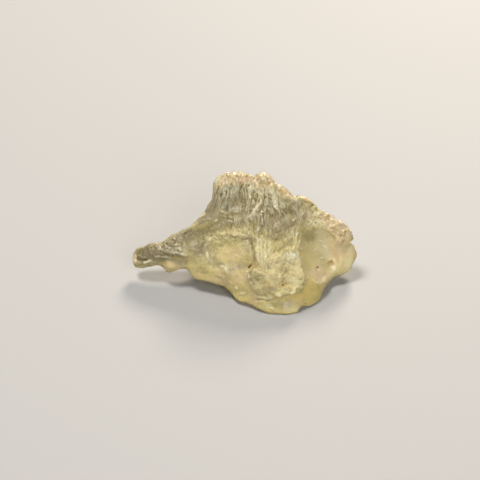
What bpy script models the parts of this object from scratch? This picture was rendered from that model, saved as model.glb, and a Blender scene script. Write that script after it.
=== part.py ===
"""Raw desert glass: one wind-worn stone of pale yellow natural glass, lying on a table.

The stone is a leaning wedge. A thin sheet rises at the back to a round crest, a tongue tapers off
to the left, and a knob with a round scallop stands out to the right. Its face is shaped in the
plane that it is seen in from the front, which leans back from upright. There x runs to the right,
y runs away from the viewer and z runs up the plane, all in millimetres. Then the stone is tipped
into the way it lies, and its underside is hollowed and worn flat where it rests.
"""

import math
from collections import namedtuple

import bmesh
import bpy
import numpy as np
from mathutils import Matrix, Vector, noise

MM = 0.001
NODE = "desert_glass"
GLASS_COLOUR = (0.62, 0.54, 0.31, 1.0)
GLASS_ROUGHNESS = 0.45

# The plane of the face leans back from upright by this angle, in degrees.
LEAN = 35.0

# The outline from the tongue's tip to the knob's tip, as (x, z) in mm.
UPPER_EDGE = [
    (-25.0, -3.4), (-24.7, -2.2), (-24.0, -1.3), (-22.6, -0.85), (-20.6, -0.1), (-18.8, 0.0),
    (-17.2, 1.1), (-15.9, 2.05), (-14.9, 2.2), (-13.9, 2.85), (-12.2, 3.75), (-10.8, 5.1),
    (-9.6, 6.5), (-8.7, 7.4), (-7.9, 8.9), (-7.2, 10.0), (-7.25, 11.5), (-7.0, 13.0),
    (-5.8, 14.55), (-4.2, 15.5), (-2.5, 15.85), (-0.4, 15.6), (1.1, 15.1), (1.9, 14.8),
    (2.6, 15.2), (3.7, 15.5), (5.2, 14.95), (6.3, 13.8), (8.2, 12.5), (9.8, 11.3),
    (10.9, 10.15), (11.7, 10.45), (12.9, 10.45), (14.4, 9.5), (15.3, 8.85), (16.0, 7.85),
    (17.6, 7.05), (18.4, 6.5), (19.3, 6.4), (20.1, 5.35), (21.6, 4.75), (22.7, 3.75),
    (23.6, 2.3), (24.1, 0.9), (23.95, 0.0), (24.3, -0.9), (24.7, -1.9), (25.0, -3.2),
]
LOWER_EDGE = [
    (-25.0, -3.4), (-24.95, -4.5), (-24.4, -5.3), (-23.0, -5.5), (-20.6, -5.1), (-18.9, -5.0),
    (-18.2, -5.4), (-17.7, -6.3), (-16.9, -6.5), (-15.2, -6.05), (-13.9, -5.65), (-12.6, -6.05),
    (-12.0, -6.9), (-11.4, -7.65), (-8.8, -8.35), (-6.3, -9.05), (-4.3, -9.85), (-3.1, -11.1),
    (-2.3, -12.2), (-0.9, -12.85), (0.4, -13.05), (2.6, -14.15), (4.9, -15.25), (7.0, -15.4),
    (10.6, -15.4), (11.5, -15.05), (11.85, -14.1), (12.8, -13.75), (14.3, -13.95), (15.6, -13.35),
    (16.7, -12.1), (17.5, -10.2), (18.4, -8.9), (20.4, -7.35), (22.0, -6.95), (23.4, -6.0),
    (24.2, -4.7), (25.0, -3.2),
]

# How the thickness runs along the stone. upper and lower are the depths of the two edges, face and
# back are how far the two sides swell from the line between them, and low is how far the back's
# swelling sits towards the lower edge.
Rib = namedtuple("Rib", "x upper lower face back low")
RIBS = [
    Rib(-25.0, 9.8, 9.8, 1.2, 1.6, 0.0),
    Rib(-22.0, 8.9, 9.2, 1.7, 2.0, 0.0),
    Rib(-17.0, 7.6, 8.2, 1.9, 2.8, 0.0),
    Rib(-12.0, 6.9, 6.8, 2.0, 4.6, 0.1),
    Rib(-7.0, 7.4, 5.4, 1.9, 8.0, 0.25),
    Rib(-2.0, 7.7, 2.9, 1.8, 11.5, 0.35),
    Rib(3.0, 6.9, 0.6, 1.8, 13.2, 0.4),
    Rib(8.0, 6.2, 0.0, 1.8, 13.4, 0.4),
    Rib(12.0, 7.4, 0.9, 1.9, 11.5, 0.35),
    Rib(16.0, 7.7, 4.2, 2.0, 7.6, 0.2),
    Rib(20.0, 8.1, 8.6, 2.3, 4.4, 0.1),
    Rib(23.0, 8.6, 9.6, 2.0, 3.0, 0.0),
    Rib(25.0, 9.4, 9.4, 1.2, 1.8, 0.0),
]
# 1 gives an oval rib. Under 1 the sides are flatter and the edges turn more sharply.
FACE_ROUNDNESS = 0.62
BACK_ROUNDNESS = 0.85
# Over 1 the back swells slowly below the crest, which leaves the top a thin sheet. It works on the
# part of the rib whose height over the middle is at least this share of the half height.
CREST_THINNING = 1.5
CREST_SHARE = 0.5
# The share of the length over which each end rounds off.
END_ROUNDING = 0.05

# Rounds of smoothing on the blank, which leave alone what is this near to its outline, in mm.
SMOOTHING = 90
RIM_WIDTH = 0.9

# The blank is dense. The finished stone is thinned out to about this many triangles.
RIB_COUNT = 240
POINTS_AROUND = 144
CURVE_STEPS = 180
TRIANGLES = 9000

# Features fade out where the surface turns away from the front or the back. They are whole where
# the normal's share towards that side is at least this.
FACING = 0.55

# Soft oval swellings and dents in the face: centre, half width and half height, turn in degrees,
# and how far it stands out, in mm. A dent's rise is negative.
Swelling = namedtuple("Swelling", "x z half_x half_z turn rise")
FACE_SWELLINGS = {
    "bowl left of the middle": Swelling(-4.4, -1.6, 6.6, 5.4, 0, -1.4),
    "hollow in the upper sheet, left": Swelling(-2.4, 8.2, 5.4, 6.6, 0, -0.9),
    "hollow in the upper sheet, right": Swelling(7.2, 7.0, 4.6, 6.4, 15, -0.9),
    "hollow above the flutes": Swelling(5.8, 2.0, 4.6, 3.4, -20, -0.6),
    "belly of the lower left": Swelling(-4.5, -7.8, 8.5, 3.4, -18, 0.5),
    "dent in the lower left": Swelling(-0.6, -11.0, 3.2, 1.9, -20, -0.45),
    "round lump beside the scallop": Swelling(10.9, -7.0, 3.2, 3.8, 0, 0.95),
    "lump left of the crack": Swelling(6.4, -7.6, 3.0, 3.2, 0, 0.6),
    "lump over the dent": Swelling(2.8, -7.8, 3.0, 2.4, 15, 0.6),
    "lump under the flutes": Swelling(6.8, -3.2, 3.0, 2.6, 0, 0.45),
    "small lump over the round one": Swelling(10.4, -2.4, 2.4, 2.4, 0, 0.5),
    "roll of the lower lip": Swelling(14.6, -11.3, 4.2, 2.8, 40, 0.5),
    "dent in the lower lip": Swelling(5.8, -13.4, 2.2, 1.2, -10, -0.3),
    "shoulder behind the sheet": Swelling(14.2, 6.4, 3.6, 3.2, -30, -0.6),
    "swelling of the wing": Swelling(-15.2, -1.8, 5.0, 2.2, 6, 0.6),
    "hollow of the wing": Swelling(-10.8, 1.0, 6.2, 2.8, 26, -0.7),
    "hump on the tongue": Swelling(-19.8, -2.0, 3.0, 2.0, 0, 0.4),
    "dent behind the tip": Swelling(-22.9, -3.7, 2.2, 1.0, -4, -0.55),
    "knob under the wing": Swelling(-16.8, -5.2, 1.8, 1.6, 0, 0.45),
    "frosted swelling on the knob": Swelling(20.6, 3.4, 4.0, 2.8, -40, 0.55),
    "hollow on the knob": Swelling(22.0, -0.9, 2.2, 3.0, 0, -0.45),
    "left half of the crest": Swelling(-2.4, 14.0, 4.6, 2.4, 0, 0.4),
    "right half of the crest": Swelling(4.2, 13.6, 3.4, 2.4, -10, 0.5),
    "dip between the crest's halves": Swelling(1.6, 14.4, 1.6, 2.6, 0, -0.4),
}

# Ridges and grooves in the face: the line that each follows, its half width and its rise.
Ridge = namedtuple("Ridge", "points half_width rise")
FACE_RIDGES = {
    "spine of the sheet": Ridge(
        [(3.7, 10.4), (3.0, 8.4), (1.9, 6.4), (1.4, 4.2), (2.2, 1.4), (3.4, -1.6), (4.2, -4.2)],
        2.4, 0.9,
    ),
    "rib left of the spine": Ridge([(-4.8, 12.6), (-5.8, 9.4), (-5.6, 6.6), (-3.0, 4.8)], 1.9, 0.4),
    "rib right of the spine": Ridge([(8.6, 11.4), (9.6, 8.6), (9.4, 5.4), (7.8, 2.4)], 1.8, 0.4),
    "shelf across the sheet": Ridge(
        [(-13.4, 2.2), (-10.2, 4.0), (-7.4, 5.2), (-4.0, 5.8), (-0.4, 5.0)], 1.9, 0.3,
    ),
    "groove under the shelf": Ridge(
        [(-12.0, 1.0), (-9.4, 2.0), (-7.0, 2.9), (-3.8, 3.7), (-1.4, 3.2)], 2.0, -0.5,
    ),
    "rim of the bowl": Ridge([(-9.6, 0.2), (-8.7, -1.6), (-8.2, -3.8), (-5.8, -5.8)], 1.4, 0.35),
    "flute beside the spine": Ridge([(5.6, 0.6), (5.8, -2.0), (5.4, -4.6)], 0.9, 0.3),
    "groove beside the spine": Ridge([(0.9, 1.0), (1.7, -1.4), (1.8, -4.4)], 1.1, -0.45),
    "crack": Ridge([(8.9, -4.2), (8.6, -5.6), (8.7, -7.0), (8.3, -8.6)], 0.9, -0.4),
    "edge of the shoulder": Ridge([(11.7, 9.7), (13.2, 9.6), (14.6, 8.9), (15.6, 8.0)], 1.0, 0.5),
    "groove under the shoulder": Ridge([(12.2, 8.4), (13.6, 8.3), (15.2, 7.5)], 0.9, -0.45),
    "lip of the tip": Ridge([(-24.4, -4.9), (-22.6, -4.9), (-20.8, -4.6)], 0.8, 0.3),
}

# The row of small knobs along the foot of the sheet.
KNOBS = [
    Swelling(x, z, 1.4, 1.4, 0, 0.45)
    for x, z in ((5.9, -11.1), (7.3, -11.4), (8.8, -11.1), (10.3, -10.8), (11.7, -9.9))
]

# The small holes: centre, half width and half height, turn and depth.
PITS = [
    Swelling(1.05, -5.1, 1.2, 0.6, 45, -0.9),
    Swelling(8.25, -9.0, 0.7, 0.7, 0, -0.8),
    Swelling(16.1, -5.3, 0.8, 0.5, -10, -0.5),
    Swelling(19.0, -4.8, 0.8, 1.1, -15, -0.7),
    Swelling(-5.7, -0.8, 0.8, 0.6, 20, -0.5),
]

# The middle of the face is a sheet that stands out over the ground to its right and below. This
# is its edge, from the lower left round to the notch in the crest.
SHEET_EDGE = [
    (-1.2, -5.6), (0.2, -8.2), (2.6, -9.9), (5.0, -11.6), (8.0, -11.9), (11.0, -11.0),
    (12.9, -9.6), (13.5, -7.6), (12.8, -5.0), (12.0, -2.0), (11.9, 1.0), (12.6, 3.6),
    (12.7, 6.0), (12.2, 8.2), (11.2, 10.1),
]
SHEET_RISE = 0.9
SHEET_EDGE_WIDTH = 1.7
# The sheet's rise fades in over this stretch of x, in mm, from the left.
SHEET_FADE = (-3.0, 5.0)

# The round scallop in the knob has a crisp rim: centre, radii, turn in degrees, and depth.
Scallop = namedtuple("Scallop", "x z half_x half_z turn depth")
SCALLOP = Scallop(16.6, -2.6, 4.6, 6.0, 10, 2.1)
SCALLOP_RIM = 0.12

# The back has shallow dished scars, as a ball pressed into it would leave: where, the ball's
# radius, and the depth. Their rims wander by the given share of the radius.
Scar = namedtuple("Scar", "x z ball depth")
SCARS = [
    Scar(-2.6, 10.6, 13.0, 2.2),
    Scar(8.6, 9.2, 12.0, 2.1),
    Scar(2.0, 4.0, 11.0, 2.0),
    Scar(-7.6, 3.2, 12.0, 1.8),
    Scar(14.2, 4.4, 11.0, 1.9),
    Scar(-3.8, -2.4, 10.0, 1.6),
    Scar(8.8, -1.6, 9.0, 1.5),
    Scar(-14.4, -0.6, 8.0, 1.0),
    Scar(19.6, 0.4, 8.0, 1.3),
    Scar(-20.6, -2.6, 6.0, 0.6),
]
SCAR_WANDER = 0.07
# Rounds of smoothing that soften the scars' rims.
SCAR_SMOOTHING = 6

# Irregular lumps all over: their size across and their height, in mm. The face is smooth under
# the first of these heights z and rough over the second. Smooth ground and the back keep a share
# of the lumps' height, and the scallop a smaller one.
LUMP_SIZE = 3.2
LUMP_HEIGHT = 0.38
ROUGH_FROM = (-9.0, -3.0)
SMOOTH_LUMPS = 0.4
SCALLOP_LUMPS = 0.2

# The underside, in mm on the table: the stone stands on these worn spots, given by their centre
# and size, and between them it is hollowed by up to the given height. The hollow begins and is
# whole at these shares of a spot's size. It starts at the front edge and is whole this far in.
SPOTS = [(8.0, -7.0, 4.0), (-0.8, -4.0, 3.2), (-3.4, 8.2, 3.4), (12.6, 8.0, 3.8)]
SPOT_SHARES = (0.45, 1.85)
HOLLOW = 2.0
HOLLOW_LUMPS = 0.8
HOLLOW_INSET = 2.6
WEAR = 0.2


def ease(share):
    """0 to 1 with a gentle start and end."""
    share = np.clip(share, 0.0, 1.0)
    return share * share * (3.0 - 2.0 * share)


def ramp(values, span):
    """0 up to the span's first value and 1 from its second."""
    return ease((values - span[0]) / (span[1] - span[0]))


def smooth_curve(points, shares):
    """Points at the given shares of the length of a smooth curve through the given points."""
    points = np.array(points, float)
    chords = np.linalg.norm(np.diff(points, axis=0), axis=1)
    along = np.concatenate([[0.0], np.cumsum(chords)])
    slopes = np.gradient(points, along, axis=0)
    at = np.asarray(shares) * along[-1]
    i = np.clip(np.searchsorted(along, at, side="right") - 1, 0, len(chords) - 1)
    step = chords[i][:, None]
    t = ((at - along[i]) / chords[i])[:, None]
    return (
        (1 + 2 * t) * (1 - t) ** 2 * points[i]
        + t * (1 - t) ** 2 * step * slopes[i]
        + t * t * (3 - 2 * t) * points[i + 1]
        + t * t * (t - 1) * step * slopes[i + 1]
    )


def rib_values(x):
    """The ribs' values at any x, as arrays."""
    table = np.array(RIBS)
    return [np.interp(x, table[:, 0], table[:, column]) for column in range(1, 6)]


def evenly(curve, count):
    """count + 1 points at even distances along a curve."""
    length = np.concatenate([[0.0], np.cumsum(np.linalg.norm(np.diff(curve, axis=0), axis=1))])
    at = np.linspace(0.0, length[-1], count + 1)
    return np.stack([np.interp(at, length, curve[:, k]) for k in range(3)], axis=1)


def ribs():
    """The blank's points: one closed ring of POINTS_AROUND points for each rib, tip to tip."""
    shares = np.linspace(0.0, 1.0, RIB_COUNT + 1)
    upper = smooth_curve(UPPER_EDGE, shares)
    lower = smooth_curve(LOWER_EDGE, shares)
    middle_x = (upper[:, 0] + lower[:, 0]) / 2
    upper_depth, lower_depth, face, back, low = rib_values(middle_x)
    from_end = np.minimum(shares, 1.0 - shares) / END_ROUNDING
    rounding = np.sqrt(1.0 - (1.0 - np.clip(from_end, 0.0, 1.0)) ** 2)
    turn = np.linspace(0.0, math.pi, CURVE_STEPS + 1)
    half = POINTS_AROUND // 2
    rings = []
    for i in range(RIB_COUNT + 1):
        top = np.array([upper[i, 0], upper_depth[i], upper[i, 1]])
        bottom = np.array([lower[i, 0], lower_depth[i], lower[i, 1]])
        sides = []
        for swell, roundness, lowered in (
            (-face[i], FACE_ROUNDNESS, 0.0),
            (back[i], BACK_ROUNDNESS, low[i]),
        ):
            along = np.sign(np.cos(turn)) * np.abs(np.cos(turn)) ** roundness
            crest = np.clip(np.cos(turn) / CREST_SHARE, 0.0, 1.0) * (swell > 0)
            power = roundness * (1.0 + (CREST_THINNING - 1.0) * crest)
            out = np.sin(turn) ** power * (1.0 - lowered * np.cos(turn))
            side = (top + bottom) / 2 + along[:, None] * (top - bottom) / 2
            side[:, 1] += out * swell * rounding[i]
            sides.append(evenly(side, half))
        rings.append(np.concatenate([sides[0][:-1], sides[1][::-1][:-1]]))
    return np.array(rings)


def make_blank():
    """A sphere with its poles at the two tips, drawn out into the ribs' shape."""
    bm = bmesh.new()
    bmesh.ops.create_uvsphere(bm, u_segments=POINTS_AROUND, v_segments=RIB_COUNT, radius=1.0)
    rings = ribs()
    inner = []
    for vert in bm.verts:
        ring = round(math.acos(max(-1.0, min(1.0, vert.co.z))) / math.pi * RIB_COUNT)
        place = round(math.atan2(vert.co.y, vert.co.x) / math.tau * POINTS_AROUND)
        vert.co = rings[ring, place % POINTS_AROUND]
        edges = Vector(rings[ring, 0]), Vector(rings[ring, POINTS_AROUND // 2])
        if min((vert.co - edge).length for edge in edges) > RIM_WIDTH:
            inner.append(vert)
    bmesh.ops.recalc_face_normals(bm, faces=bm.faces)
    for _ in range(SMOOTHING):
        bmesh.ops.smooth_vert(
            bm, verts=inner, factor=0.5, use_axis_x=True, use_axis_y=True, use_axis_z=True
        )
    bm.normal_update()
    return bm


def oval_distance(points, x, z, half_x, half_z, turn):
    """How far each point is from an oval's centre, as a share of the oval's radius there."""
    across, up = points[:, 0] - x, points[:, 2] - z
    cos, sin = math.cos(math.radians(turn)), math.sin(math.radians(turn))
    return np.hypot((across * cos + up * sin) / half_x, (up * cos - across * sin) / half_z)


def swelling(points, shape):
    share = np.clip(oval_distance(points, *shape[:5]), 0.0, 1.0)
    return shape.rise * (1.0 - share**2) ** 2


def scallop(points, shape):
    share = oval_distance(points, *shape[:5])
    bite = (1.0 - share**2) / SCALLOP_RIM
    return -shape.depth * SCALLOP_RIM * np.logaddexp(0.0, 4.0 * bite) / 4.0


def line_distance(points, line):
    """The distance of each point from a line of straight pieces, and the piece it is nearest to."""
    flat = points[:, [0, 2]]
    best = np.full(len(points), np.inf)
    piece = np.zeros(len(points), int)
    line = np.array(line, float)
    for i, (start, end) in enumerate(zip(line[:-1], line[1:])):
        run = end - start
        share = np.clip((flat - start) @ run / (run @ run), 0.0, 1.0)
        away = np.linalg.norm(flat - start - share[:, None] * run, axis=1)
        piece = np.where(away < best, i, piece)
        best = np.minimum(best, away)
    return best, piece


def ridge(points, shape):
    away, _ = line_distance(points, shape.points)
    return shape.rise * (1.0 - np.clip(away / shape.half_width, 0.0, 1.0) ** 2) ** 2


def sheet(points):
    """The step up from the ground onto the sheet, for points to the left of its edge line."""
    away, piece = line_distance(points, SHEET_EDGE)
    line = np.array(SHEET_EDGE, float)
    run = np.diff(line, axis=0)[piece]
    offset = points[:, [0, 2]] - line[piece]
    inside = np.sign(run[:, 0] * offset[:, 1] - run[:, 1] * offset[:, 0])
    step = ease(0.5 + inside * away / SHEET_EDGE_WIDTH)
    return SHEET_RISE * ramp(points[:, 0], SHEET_FADE) * step


def lumps(points, size):
    heights = []
    for point in points:
        heights.append(noise.fractal(Vector(point) / size, 0.9, 2.0, 3))
    return np.array(heights)


def press(bm, scar):
    """Presses an uneven ball into the back at the scar's place."""
    def away(vert):
        return math.hypot(vert.co.x - scar.x, vert.co.z - scar.z)

    spot = min((vert for vert in bm.verts if vert.normal.y > 0.2), key=away)
    centre = spot.co + spot.normal * (scar.ball - scar.depth)
    for vert in bm.verts:
        offset = vert.co - centre
        ball = scar.ball * (1.0 + SCAR_WANDER * noise.noise(vert.co / LUMP_SIZE / 2))
        if offset.length < ball and vert.normal.y > 0.0:
            out = offset.dot(vert.normal)
            inside = ball**2 - offset.length_squared
            vert.co -= vert.normal * (out + math.sqrt(out * out + inside))


def carve(bm):
    """Raises and sinks the two sides' features."""
    for scar in SCARS:
        press(bm, scar)
    behind = [vert for vert in bm.verts if vert.normal.y > 0.1]
    for _ in range(SCAR_SMOOTHING):
        bmesh.ops.smooth_vert(
            bm, verts=behind, factor=0.5, use_axis_x=True, use_axis_y=True, use_axis_z=True
        )
    bm.normal_update()
    points = np.array([vert.co for vert in bm.verts])
    normals = np.array([vert.normal for vert in bm.verts])
    face = ease(-normals[:, 1] / FACING)
    back = ease(normals[:, 1] / FACING)
    rise = sheet(points) + scallop(points, SCALLOP)
    rise += sum(swelling(points, shape) for shape in [*FACE_SWELLINGS.values(), *KNOBS, *PITS])
    rise += sum(ridge(points, shape) for shape in FACE_RIDGES.values())
    rough = np.maximum(ramp(points[:, 2], ROUGH_FROM) * (1.0 - back), SMOOTH_LUMPS)
    in_scallop = 1.0 - ramp(oval_distance(points, *SCALLOP[:5]), (0.6, 1.1))
    rough *= 1.0 - (1.0 - SCALLOP_LUMPS) * in_scallop * face
    uneven = lumps(points, LUMP_SIZE) * LUMP_HEIGHT * rough
    for i, vert in enumerate(bm.verts):
        vert.co.y -= rise[i] * face[i]
        vert.co += Vector((0.0, vert.normal.y, 0.0)) * uneven[i]


def lie_down(bm):
    """Tips the stone back and lowers it until its front edge is on the table. It gives back how
    far in from the outline each point was."""
    inset, _ = line_distance(np.array([vert.co for vert in bm.verts]), LOWER_EDGE)
    bmesh.ops.transform(bm, matrix=Matrix.Rotation(math.radians(-LEAN), 4, "X"), verts=bm.verts)
    low = math.cos(math.radians(LEAN)) * min(z for _, z in LOWER_EDGE)
    bmesh.ops.translate(bm, vec=(0.0, 0.0, -low), verts=bm.verts)
    return inset


def hollow_underside(bm, inset):
    """Lifts whatever is under the table to a shallow vault that stands on the worn spots."""
    uneven = lumps([vert.co.xy.to_3d() for vert in bm.verts], 2 * LUMP_SIZE)
    inward = ease(inset / HOLLOW_INSET)
    for vert, lump, share in zip(bm.verts, uneven, inward):
        reach = [math.hypot(vert.co.x - x, vert.co.y - y) / size for x, y, size in SPOTS]
        vault = float(ramp(min(reach), SPOT_SHARES) * share)
        floor = (HOLLOW + HOLLOW_LUMPS * lump) * vault - WEAR
        if vert.co.z < floor:
            vert.co.z = floor


def wear_flat(bm):
    """Cuts the worn spots flat at the table."""
    geometry = bm.verts[:] + bm.edges[:] + bm.faces[:]
    cut = bmesh.ops.bisect_plane(
        bm, geom=geometry, dist=1e-7, plane_co=(0, 0, 0), plane_no=(0, 0, 1), clear_inner=True
    )
    rim = [item for item in cut["geom_cut"] if isinstance(item, bmesh.types.BMEdge)]
    bmesh.ops.holes_fill(bm, edges=rim, sides=0)


def thin_out(stone):
    """The stone's shape with its number of triangles brought down, as a new bmesh."""
    fewer = stone.modifiers.new("Fewer triangles", "DECIMATE")
    fewer.ratio = TRIANGLES / sum(len(face.vertices) - 2 for face in stone.data.polygons)
    thinned = bmesh.new()
    thinned.from_object(stone, bpy.context.evaluated_depsgraph_get())
    stone.modifiers.remove(fewer)
    return thinned


def centre(bm):
    """Puts the middle of the stone, as seen from above, over the origin."""
    low = [min(vert.co[k] for vert in bm.verts) for k in (0, 1)]
    high = [max(vert.co[k] for vert in bm.verts) for k in (0, 1)]
    bmesh.ops.translate(
        bm, vec=(-(low[0] + high[0]) / 2, -(low[1] + high[1]) / 2, 0.0), verts=bm.verts
    )


def glass():
    material = bpy.data.materials.new(NODE)
    material.use_nodes = True
    shader = material.node_tree.nodes["Principled BSDF"]
    shader.inputs["Base Color"].default_value = GLASS_COLOUR
    shader.inputs["Roughness"].default_value = GLASS_ROUGHNESS
    shader.inputs["Metallic"].default_value = 0.0
    return material


def main():
    for obj in list(bpy.data.objects):
        bpy.data.objects.remove(obj)
    bm = make_blank()
    carve(bm)
    hollow_underside(bm, lie_down(bm))
    bmesh.ops.scale(bm, vec=(MM, MM, MM), verts=bm.verts)
    stone = bpy.data.objects.new(NODE, bpy.data.meshes.new(NODE))
    bpy.context.scene.collection.objects.link(stone)
    bm.to_mesh(stone.data)
    bm.free()
    thinned = thin_out(stone)
    wear_flat(thinned)
    centre(thinned)
    thinned.to_mesh(stone.data)
    thinned.free()
    stone.data.materials.append(glass())


main()
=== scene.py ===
"""Dresses a raw desert glass stone: a pale yellow, wind-worn piece of natural glass.

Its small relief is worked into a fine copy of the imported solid, and its colours follow masks that
are kept on the mesh. Places on its face are given in the plane that it is seen in from the front,
which leans back from upright: across runs to the right and up runs up that plane, in mm.
"""

import math
from collections import namedtuple
from types import SimpleNamespace

import bmesh
import bpy
import numpy as np
from bpy.props import FloatProperty, FloatVectorProperty, IntProperty, PointerProperty
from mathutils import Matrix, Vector, noise


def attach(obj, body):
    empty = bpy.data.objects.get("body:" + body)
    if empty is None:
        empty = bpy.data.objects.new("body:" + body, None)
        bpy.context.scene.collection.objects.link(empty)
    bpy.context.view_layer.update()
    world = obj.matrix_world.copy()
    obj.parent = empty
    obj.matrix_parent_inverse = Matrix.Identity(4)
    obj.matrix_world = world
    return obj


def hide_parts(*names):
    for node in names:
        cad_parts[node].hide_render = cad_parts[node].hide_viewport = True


bl_info = {
    "name": "Raw Desert Glass",
    "version": (1, 0, 0),
    "blender": (4, 5, 0),
    "location": "View3D > Sidebar > Desert Glass",
    "description": "Builds a raw desert glass stone with its wind-worn relief and milky yellow glass",
    "category": "Object",
}

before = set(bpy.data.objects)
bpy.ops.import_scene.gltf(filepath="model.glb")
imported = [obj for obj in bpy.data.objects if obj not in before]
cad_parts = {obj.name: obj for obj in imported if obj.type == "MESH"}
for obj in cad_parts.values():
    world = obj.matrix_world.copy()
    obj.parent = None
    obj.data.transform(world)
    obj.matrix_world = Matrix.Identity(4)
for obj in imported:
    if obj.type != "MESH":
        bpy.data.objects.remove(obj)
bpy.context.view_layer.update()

MM = 0.001
NODE = "desert_glass"
BODY = "root"

# The plane of the face leans back from upright by this angle. Its middle is here in the part's
# frame, as y and z in mm.
LEAN = math.radians(35.0)
MIDDLE = (-3.52, 12.615)

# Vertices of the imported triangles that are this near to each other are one, in metres.
WELD = 1e-7

# Rounds of smoothing that take the facets of the solid away.
SMOOTHING_ROUNDS = 8

# Ground below REST_HEIGHT is where the stone rests and keeps its flat. The relief comes in between
# the heights of RELIEF_START, and other ground isn't carved below LOWEST. All are in mm.
REST_HEIGHT = 0.3
RELIEF_START = (0.05, 0.75)
LOWEST = 0.1

# How squarely a place faces the front, from -1 to 1, where it starts to count as the face and where
# it wholly does. FACING_BACK is the same for the back. Over the heights of CREST_TOP, in mm, the
# crest comes to count as the face all round.
FACING_FRONT = (0.0, 0.45)
FACING_BACK = (-0.1, -0.5)
CREST_TOP = (3.0, 8.0)

# Patches of rough ground have weaker fine lines, but only below the heights of QUIET_TOP, in mm.
QUIET_TOP = (11.0, 8.0)

# How rough the narrow sides and the back are, where rough ground on the face is 1.
SIDE_ROUGHNESS = 0.6
BACK_ROUGHNESS = 0.35

# The streaked sheet comes in over these stretches, up from its foot and across from its two sides.
SHEET_FOOT = (1.5, 5.0)
SHEET_LEFT = (-9.5, -6.0)
SHEET_RIGHT = (13.5, 11.0)

# The streaks on the sheet fan out from this place over the crest. FAN_REACH is how far below it
# the size of the streaks is measured, in mm, and STREAK_LENGTH is how many times longer than wide
# they are.
FAN = (1.0, 34.0)
FAN_REACH = 29.0
STREAK_LENGTH = 3.2

# Sizes of the forms that cover the stone, in mm. The width of a crack is a share of its cell.
COARSE_FOLD = 1.3
FINE_FOLD = 0.7
STREAK = 2.0
LONG_WAVE = 4.5
SHORT_WAVE = 1.7
NET_CELL = 1.4
NET_CRACK = 0.16
SCAR_CELL = 4.2
SCAR_CRACK = 0.14

# The dimples of the back: their size, the width of their rims as a share of it, and how far the
# rims stand out, in mm.
DIMPLE = 5.5
DIMPLE_RIM = 0.6
RIM_RISE = 0.3

# How far from its middle a mark starts to fade, and where it has gone, when its outline is at 1.
FADE = (0.35, 1.3)

# A mark on the face: its middle, half width, half height, strength, and turn in degrees.
Mark = namedtuple("Mark", "across up half_x half_y strength turn", defaults=[0])


def marks(*rows):
    """A list of marks."""
    return [Mark(*row) for row in rows]


# Where the glass is thin and grey.
VEIL = marks(
    # On the crest.
    (-1.0, 12.0, 4.4, 1.6, 0.6),
    (4.2, 11.4, 1.4, 1.4, 0.5),
    # On the sheet.
    (-2.0, 8.0, 5.6, 4.6, 0.95),
    (7.4, 5.6, 5.2, 5.2, 0.9, 15),
    (-8.6, 6.2, 3.4, 1.8, 0.9, 45),
    (-6.0, 10.0, 2.0, 4.6, 0.7, -10),
    (-3.6, 6.6, 4.4, 2.6, 1.0, 5),
    (2.4, 5.0, 4.0, 2.0, 0.6),
    (10.6, 8.0, 2.0, 3.4, 0.6, 20),
    (4.0, 8.8, 2.4, 1.8, 0.4),
    # On the shoulder.
    (13.4, 5.8, 1.6, 2.4, 0.4, -20),
    (15.0, 7.6, 1.4, 1.2, 0.4, -30),
    # On the knob.
    (21.6, -0.8, 2.2, 2.6, 0.5),
    (15.0, 4.0, 1.4, 1.4, 0.35),
    # On the flutes and the lumps.
    (4.8, -10.3, 2.6, 1.4, 0.6, 5),
    (1.8, -7.4, 2.4, 2.0, 0.4, 10),
    # In and around the bowl.
    (-10.0, -0.8, 2.6, 2.6, 0.7),
    (-7.4, -4.2, 3.0, 1.4, 0.4, -15),
    (-4.2, -5.3, 3.4, 1.0, 0.35, -8),
    (-9.4, -6.0, 2.2, 1.0, 0.5, -15),
    # On the tongue and the wing.
    (-20.0, -2.4, 5.6, 3.2, 0.95, 5),
    (-13.8, 0.4, 5.6, 3.0, 0.85, 22),
    (-12.2, 0.2, 1.4, 1.6, 0.95),
    (-14.6, -4.2, 2.4, 1.0, 0.7, -5),
    (-23.6, -4.0, 1.6, 1.4, 0.7),
)

# Where the glass is thick and deep yellow.
HONEY = marks(
    (-10.0, -6.6, 5.4, 2.4, 0.25, -18),
    (14.0, -11.0, 4.4, 4.4, 0.85, 30),
    (0.4, -3.6, 2.0, 1.6, 0.2),
    (8.4, -8.6, 2.4, 2.4, 0.5),
    (4.0, -13.6, 8.0, 2.4, 0.4, -12),
    (13.4, -2.4, 1.5, 3.4, 0.7, 8),
    (14.6, -5.2, 1.6, 2.0, 0.35),
    (10.4, -12.2, 3.0, 1.4, 0.7, 10),
    (-17.6, -4.6, 1.6, 1.0, 0.5),
    (22.6, -5.0, 1.8, 1.4, 0.4, 30),
)

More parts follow.
